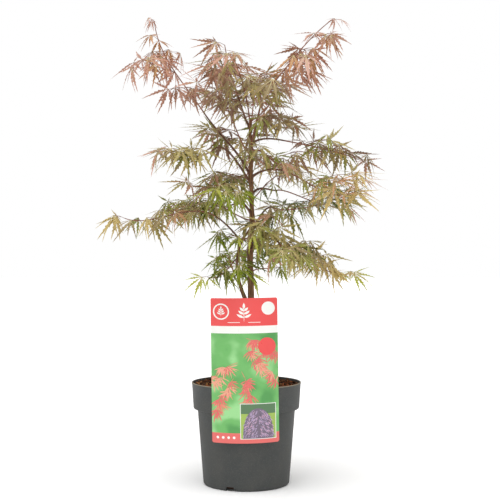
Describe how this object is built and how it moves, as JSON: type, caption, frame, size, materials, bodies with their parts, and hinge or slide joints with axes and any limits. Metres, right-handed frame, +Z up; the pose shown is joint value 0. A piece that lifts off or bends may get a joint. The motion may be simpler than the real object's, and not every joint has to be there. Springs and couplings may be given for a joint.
{
  "type": "potted laceleaf japanese maple",
  "caption": "Young laceleaf Japanese maple with tiers of finely cut red and green leaves, growing in a round nursery pot with a plant card.",
  "frame": {"origin": "centre of the pot's flat underside", "axes": "+Z up along the trunk, -Y the front where the plant card hangs, +X to the right seen from the front"},
  "size_m": [0.5021, 0.4448, 0.823],
  "materials": {
    "pot": "satin dark grey moulded polypropylene, a little dusty",
    "soil": "loose matte bark chips, moist brown",
    "card": "thin glossy printed plastic sheet, coral, white and green",
    "bark": "smooth young bark with fine pale flecks, maroon to olive brown",
    "leaf_coral": "soft satin young leaf, coral red",
    "leaf_rust": "satin leaf, rust red",
    "leaf_maroon": "satin leaf, brown maroon",
    "leaf_olive": "satin leaf, olive",
    "leaf_green": "satin leaf, leaf green",
    "leaf_amber": "satin leaf, golden orange"
  },
  "bodies": {
    "root": {"pot": "pot", "soil": "soil", "plant_card": "card", "trunk": "bark", "side_stem": "bark", "bough_upper_right": "bark", "bough_middle_right": "bark", "bough_lowest_right": "bark", "bough_low_right_back": "bark", "bough_top_right": "bark", "bough_top_left": "bark", "bough_upper_left": "bark", "bough_middle_left": "bark", "bough_far_left": "bark", "bough_left_front": "bark", "bough_front_right": "bark", "bough_back_right": "bark", "bough_back_left": "bark", "bough_back": "bark", "bough_front_left_low": "bark", "bough_back_low": "bark", "foliage_upper_right": "leaf_maroon", "foliage_middle_right": "leaf_amber", "foliage_lowest_right": "leaf_amber", "foliage_low_right_back": "leaf_olive", "foliage_top_right": "leaf_coral", "foliage_top_left": "leaf_rust", "foliage_upper_left": "leaf_coral", "foliage_middle_left": "leaf_rust", "foliage_far_left": "leaf_amber", "foliage_left_front": "leaf_olive", "foliage_front_right": "leaf_green", "foliage_back_right": "leaf_olive", "foliage_back_left": "leaf_olive", "foliage_back": "leaf_maroon", "foliage_front_left_low": "leaf_green", "foliage_back_low": "leaf_green", "foliage_crown_front": "leaf_rust", "foliage_crown_back": "leaf_rust", "foliage_crown_left": "leaf_rust", "foliage_crown_right": "leaf_maroon", "foliage_crown_front_right": "leaf_maroon", "foliage_inner_right": "leaf_olive", "foliage_low_front": "leaf_green", "foliage_low_right_front": "leaf_olive", "foliage_low_left": "leaf_green", "foliage_base_right": "leaf_green", "foliage_back_middle": "leaf_olive", "foliage_low_left_back": "leaf_olive", "foliage_front_middle_left": "leaf_maroon", "foliage_front_upper_right": "leaf_olive"}
  },
  "joints": []
}
